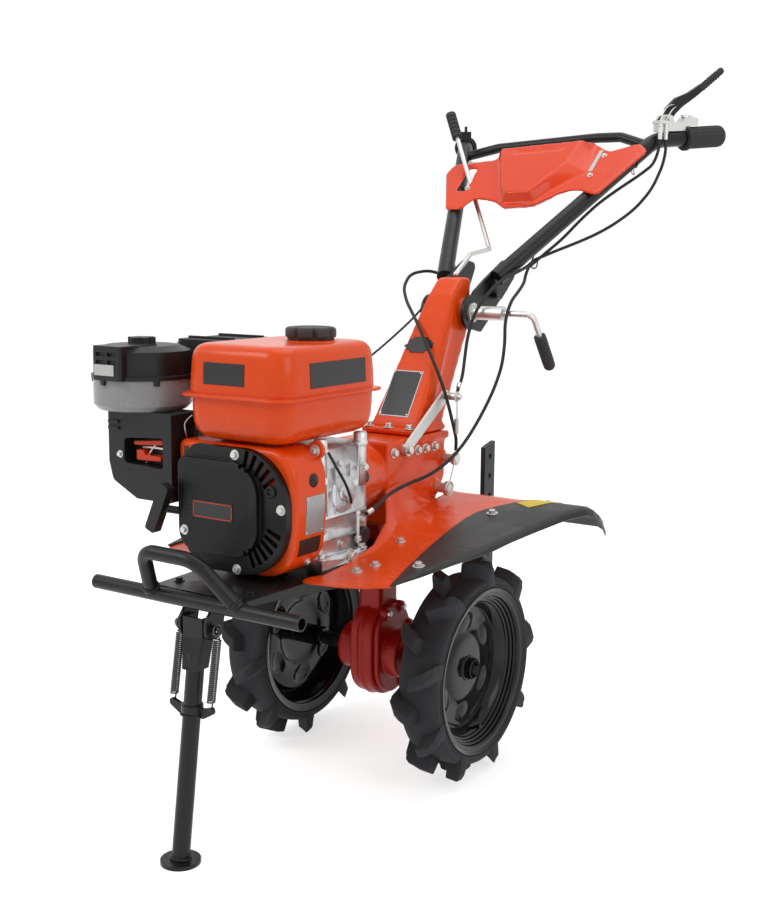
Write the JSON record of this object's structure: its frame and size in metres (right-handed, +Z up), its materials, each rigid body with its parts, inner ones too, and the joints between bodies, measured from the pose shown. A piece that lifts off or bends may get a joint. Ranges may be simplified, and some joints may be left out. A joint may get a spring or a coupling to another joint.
{
  "type": "two-wheel walking mini tiller",
  "caption": "Walk-behind mini tiller: petrol engine on a front deck over a gearbox with two lugged wheels, fenders, folding front stand, leaning column and height-adjustable handlebar.",
  "frame": {"origin": "on the ground at the middle of the machine's length and width, with the wheels and the front stand resting on z = 0", "axes": "+Z up, -Y forward towards the front stand, +X the machine's left side; wheel axle along X"},
  "size_m": [0.68, 1.3692, 1.2723],
  "materials": {
    "dark_orange_paint": "gloss orange-red paint on castings",
    "black_paint": "satin black paint",
    "zinc_steel": "zinc-plated steel",
    "orange_paint": "gloss orange-red paint",
    "aluminium": "as-cast aluminium",
    "black_plastic": "fine-grained black plastic",
    "cap_plastic": "matt dark grey plastic",
    "bowl_plastic": "smoky grey translucent-looking plastic",
    "silencer_steel": "heat-proof black paint",
    "orange_plastic": "gloss orange moulding",
    "cable_sheath": "black plastic cable sheath",
    "tyre_rubber": "moulded tyre rubber",
    "rim_paint": "gloss black paint",
    "spring_steel": "black phosphated spring steel",
    "grip_rubber": "ribbed rubber"
  },
  "bodies": {
    "frame": {"gearbox_housing": "dark_orange_paint", "gearbox_leg": "dark_orange_paint", "leg_cover": "dark_orange_paint", "hitch_bracket": "black_paint", "drag_bar": "black_paint", "hitch_pin": "zinc_steel", "column": "orange_paint", "engine_deck": "black_paint", "bumper": "black_paint", "stand_bracket": "black_paint", "crankcase": "aluminium", "cylinder_block": "aluminium", "fan_shroud": "orange_paint", "recoil_starter": "black_plastic", "recoil_handle": "black_plastic", "fuel_tank": "orange_paint", "fuel_cap": "cap_plastic", "air_cleaner_bowl": "bowl_plastic", "air_cleaner_lid": "black_plastic", "carburettor_cover": "black_plastic", "muffler": "silencer_steel", "fender_left": "orange_paint", "fender_right": "orange_paint", "fender_edge_left": "black_plastic", "fender_edge_right": "black_plastic", "shift_arm": "zinc_steel", "control_shafts": "zinc_steel", "gear_rod": "zinc_steel", "engine_levers": "orange_plastic", "clutch_cable_lower": "cable_sheath", "engine_cable_lower": "cable_sheath", "reverse_cable": "cable_sheath", "throttle_cable": "cable_sheath"},
    "axle_and_wheels": {"axle_shaft": "black_paint", "tyre_left": "tyre_rubber", "tyre_right": "tyre_rubber", "rim_left": "rim_paint", "rim_right": "rim_paint"},
    "front_stand": {"stand_leg": "black_paint", "stand_spring_left": "spring_steel", "stand_spring_right": "spring_steel"},
    "handlebar": {"handlebar_left": "black_paint", "handlebar_right": "black_paint", "handle_bracket": "black_paint", "cross_tube": "black_paint", "clamp_rod": "zinc_steel", "clamp_sleeve": "zinc_steel", "clamp_crank": "zinc_steel", "clamp_knob": "grip_rubber", "grip_left": "grip_rubber", "grip_right": "grip_rubber", "console_panel": "orange_plastic", "gear_lever": "zinc_steel", "gear_knob": "grip_rubber", "clutch_bracket": "zinc_steel", "clutch_lever": "black_paint", "throttle_lever": "black_paint", "clutch_cable_upper": "cable_sheath", "engine_cable_upper": "cable_sheath"}
  },
  "joints": [
    {"name": "wheel_roll", "type": "hinge", "parent": "frame", "child": "axle_and_wheels", "pos_m": [0, -0.1316, 0.19], "axis": [1, 0, 0], "continuous": true},
    {"name": "stand_fold", "type": "hinge", "parent": "frame", "child": "front_stand", "pos_m": [0, -0.6076, 0.35], "axis": [1, 0, 0], "range_deg": [0, 85]},
    {"name": "handlebar_height", "type": "hinge", "parent": "frame", "child": "handlebar", "pos_m": [0, 0.1024, 0.784], "axis": [1, 0, 0], "range_deg": [-15, 15], "deforming": ["gear_rod", "clutch_cable_lower", "engine_cable_lower", "reverse_cable", "throttle_cable"]}
  ]
}
